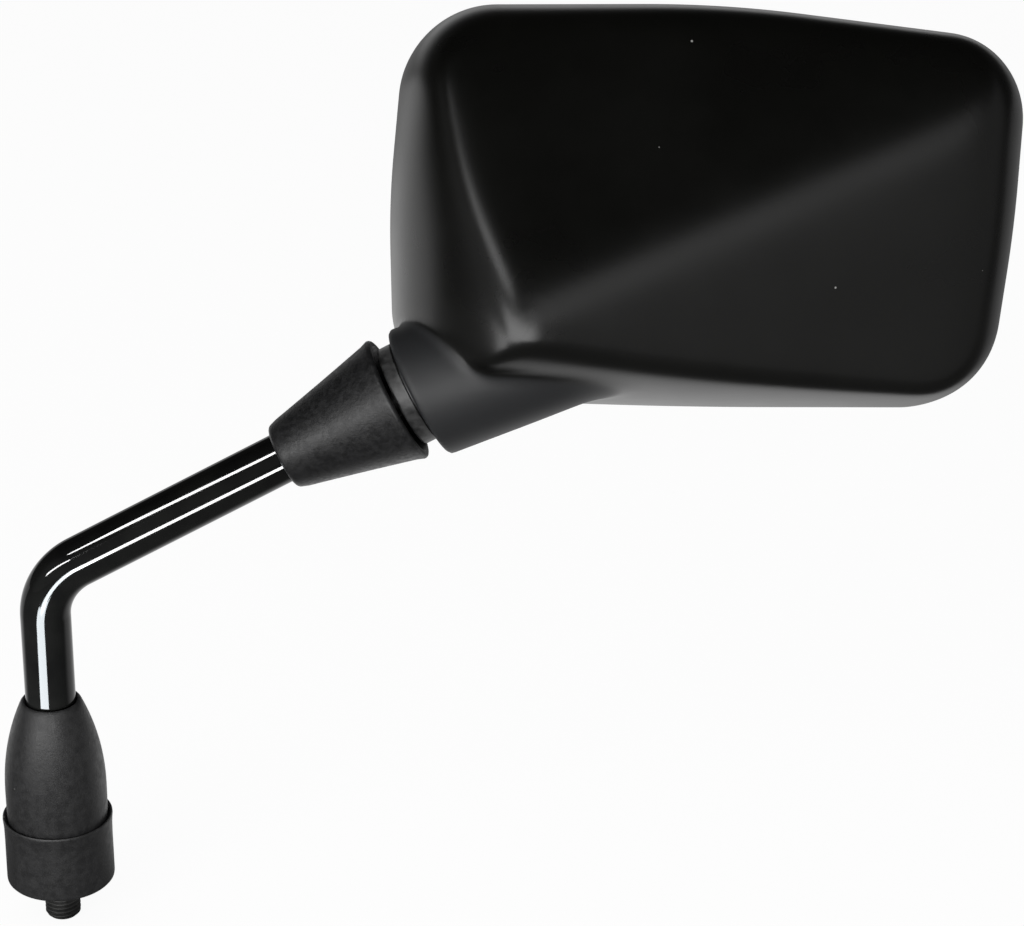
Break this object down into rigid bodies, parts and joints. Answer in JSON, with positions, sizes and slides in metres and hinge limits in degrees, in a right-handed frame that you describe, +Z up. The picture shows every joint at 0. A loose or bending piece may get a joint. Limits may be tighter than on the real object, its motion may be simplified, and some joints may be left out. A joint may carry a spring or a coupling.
{
  "type": "motorcycle mirror",
  "caption": "Left-hand motorcycle mirror: faceted moulded head with convex glass on a friction ball pivot, carried by a bent black stem with a threaded stud and rubber covers.",
  "frame": {"origin": "centre of the lock nut's seat plane on the axis of the threaded stud", "axes": "+Z up along the stud and the lower leg of the stem, +X outboard to the head, -Y faces the road ahead, so the glass faces +Y and a little down"},
  "size_m": [0.2909, 0.0906, 0.2512],
  "materials": {
    "gloss_black_steel": "gloss",
    "bright_steel": "satin",
    "zinc_steel": "satin",
    "cover_rubber": "matte",
    "ring_black": "semi-gloss",
    "liner_plastic": "matte",
    "shell_plastic": "satin",
    "carrier_plastic": "matte",
    "pad_foam": "matte",
    "mirror": "polished",
    "seal_rubber": "matte"
  },
  "bodies": {
    "arm": {"stem": "gloss_black_steel", "ball_stud": "bright_steel", "lock_nut": "zinc_steel", "spring_washer": "zinc_steel", "plain_washer": "zinc_steel", "base_collar": "cover_rubber", "base_cover": "cover_rubber", "cone_cover": "cover_rubber"},
    "inner_swivel": {"front_liner": "liner_plastic"},
    "outer_swivel": {"rear_liner": "liner_plastic"},
    "head": {"housing": "shell_plastic", "pivot_ring": "ring_black", "seat_cup": "bright_steel", "disc_springs": "bright_steel", "thrust_disc": "bright_steel", "carrier_plate": "carrier_plastic", "carrier_screws": "zinc_steel", "adhesive_pad": "pad_foam", "mirror_glass": "mirror", "rim_seal": "seal_rubber"}
  },
  "joints": [
    {"name": "twist", "type": "hinge", "parent": "arm", "child": "inner_swivel", "pos_m": [0.11048, 0, 0.15105], "axis": [0.891, 0, 0.454], "continuous": true},
    {"name": "rock", "type": "hinge", "parent": "inner_swivel", "child": "outer_swivel", "pos_m": [0.11048, 0, 0.15105], "axis": [0, 1, 0], "range_deg": [-10, 10]},
    {"name": "pan", "type": "hinge", "parent": "outer_swivel", "child": "head", "pos_m": [0.11048, 0, 0.15105], "axis": [-0.454, 0, 0.891], "range_deg": [-10, 10]}
  ]
}
